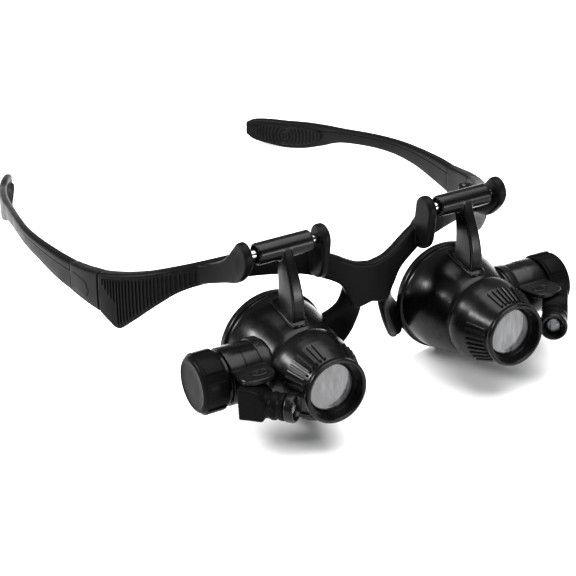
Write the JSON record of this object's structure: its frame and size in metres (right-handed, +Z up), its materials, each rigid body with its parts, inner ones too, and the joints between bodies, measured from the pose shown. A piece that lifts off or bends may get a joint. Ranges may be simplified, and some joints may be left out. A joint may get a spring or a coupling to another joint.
{
  "type": "head-worn loupe magnifier",
  "caption": "Half-rim spectacle frame with folding temples that carries two flip-up eye loupes, each with a twist-out lens, a battery tube and a swivelling lamp.",
  "frame": {"origin": "on the resting plane, under the middle of the bounding box", "axes": "+X to the right-hand side as seen from in front, +Y from the lenses back towards the temple tips, +Z up"},
  "size_m": [0.1496, 0.212, 0.0581],
  "materials": {
    "frame_plastic": "satin black moulded nylon, faint moulding texture",
    "grip_plastic": "matt black ribbed grip",
    "loupe_plastic": "semi-gloss black moulded ABS",
    "holder_plastic": "semi-gloss black, ribbed",
    "cap_plastic": "satin black",
    "bush_plastic": "matt black acetal",
    "chrome_rod": "bright plated",
    "steel": "turned",
    "cell_steel": "nickel-plated can",
    "brass_contact": "spring brass",
    "lens_glass": "clear coated optical glass",
    "led_clear": "clear epoxy LED"
  },
  "bodies": {
    "frame": {"front_frame": "frame_plastic", "left_hinge_rod": "chrome_rod", "right_hinge_rod": "chrome_rod", "left_hinge_pin": "steel", "right_hinge_pin": "steel"},
    "left_temple": {"left_hinge_block": "frame_plastic", "left_temple_arm": "frame_plastic", "left_tip_pad": "grip_plastic"},
    "left_slider": {"left_friction_bush": "bush_plastic"},
    "left_loupe": {"left_sleeve_arm": "loupe_plastic", "left_eye_cup": "loupe_plastic", "left_battery_housing": "loupe_plastic", "left_battery_contact": "brass_contact", "left_battery_spring": "steel", "left_button_cell_1": "cell_steel", "left_button_cell_2": "cell_steel", "left_button_cell_3": "cell_steel", "left_lamp_bracket": "loupe_plastic"},
    "left_lens_unit": {"left_lens_holder": "holder_plastic", "left_lens": "lens_glass", "left_lens_retainer": "bush_plastic"},
    "left_cap": {"left_battery_cap": "cap_plastic"},
    "left_lamp": {"left_lamp_knuckle": "cap_plastic", "left_pivot_screw": "steel", "left_lamp_hood": "holder_plastic", "left_led": "led_clear"},
    "left_switch": {"left_switch_slider": "cap_plastic"},
    "right_temple": {"right_hinge_block": "frame_plastic", "right_temple_arm": "frame_plastic", "right_tip_pad": "grip_plastic"},
    "right_slider": {"right_friction_bush": "bush_plastic"},
    "right_loupe": {"right_sleeve_arm": "loupe_plastic", "right_eye_cup": "loupe_plastic", "right_battery_housing": "loupe_plastic", "right_battery_contact": "brass_contact", "right_battery_spring": "steel", "right_button_cell_1": "cell_steel", "right_button_cell_2": "cell_steel", "right_button_cell_3": "cell_steel", "right_lamp_bracket": "loupe_plastic"},
    "right_lens_unit": {"right_lens_holder": "holder_plastic", "right_lens": "lens_glass", "right_lens_retainer": "bush_plastic"},
    "right_cap": {"right_battery_cap": "cap_plastic"},
    "right_lamp": {"right_lamp_knuckle": "cap_plastic", "right_pivot_screw": "steel", "right_lamp_hood": "holder_plastic", "right_led": "led_clear"},
    "right_switch": {"right_switch_slider": "cap_plastic"}
  },
  "joints": [
    {"name": "left_temple_fold", "type": "hinge", "parent": "frame", "child": "left_temple", "pos_m": [-0.0656, -0.02502, 0.02607], "axis": [0, 0, -1], "range_deg": [0, 88]},
    {"name": "left_pd_slide", "type": "slide", "parent": "frame", "child": "left_slider", "axis": [1, 0, 0], "range_m": [-0.0018, 0.0018]},
    {"name": "left_loupe_tilt", "type": "hinge", "parent": "left_slider", "child": "left_loupe", "pos_m": [-0.0312, -0.07122, 0.05357], "axis": [-1, 0, 0], "range_deg": [0, 75]},
    {"name": "left_lens_twist", "type": "hinge", "parent": "left_loupe", "child": "left_lens_unit", "pos_m": [-0.0312, -0.09321, 0.02082], "axis": [0, -0.993, 0.1184], "range_deg": [0, 40]},
    {"name": "left_cap_twist", "type": "hinge", "parent": "left_loupe", "child": "left_cap", "pos_m": [-0.0608, -0.07812, 0.02064], "axis": [-1, 0, 0], "range_deg": [0, 90]},
    {"name": "left_lamp_swivel", "type": "hinge", "parent": "left_loupe", "child": "left_lamp", "pos_m": [-0.0534, -0.09313, 0.01981], "axis": [0, -0.1184, -0.993], "range_deg": [-3, 30]},
    {"name": "left_switch_slide", "type": "slide", "parent": "left_loupe", "child": "left_switch", "axis": [1, 0, 0], "range_m": [-0.0009, 0.0009]},
    {"name": "right_temple_fold", "type": "hinge", "parent": "frame", "child": "right_temple", "pos_m": [0.0656, -0.02502, 0.02607], "axis": [0, 0, 1], "range_deg": [0, 76]},
    {"name": "right_pd_slide", "type": "slide", "parent": "frame", "child": "right_slider", "axis": [1, 0, 0], "range_m": [-0.0018, 0.0018]},
    {"name": "right_loupe_tilt", "type": "hinge", "parent": "right_slider", "child": "right_loupe", "pos_m": [0.0312, -0.07122, 0.05357], "axis": [-1, 0, 0], "range_deg": [0, 75]},
    {"name": "right_lens_twist", "type": "hinge", "parent": "right_loupe", "child": "right_lens_unit", "pos_m": [0.0312, -0.09321, 0.02082], "axis": [0, -0.993, 0.1184], "range_deg": [0, 40]},
    {"name": "right_cap_twist", "type": "hinge", "parent": "right_loupe", "child": "right_cap", "pos_m": [0.0608, -0.07812, 0.02064], "axis": [1, 0, 0], "range_deg": [0, 90]},
    {"name": "right_lamp_swivel", "type": "hinge", "parent": "right_loupe", "child": "right_lamp", "pos_m": [0.0534, -0.09313, 0.01981], "axis": [0, 0.1184, 0.993], "range_deg": [-3, 30]},
    {"name": "right_switch_slide", "type": "slide", "parent": "right_loupe", "child": "right_switch", "axis": [1, 0, 0], "range_m": [-0.0009, 0.0009]}
  ]
}
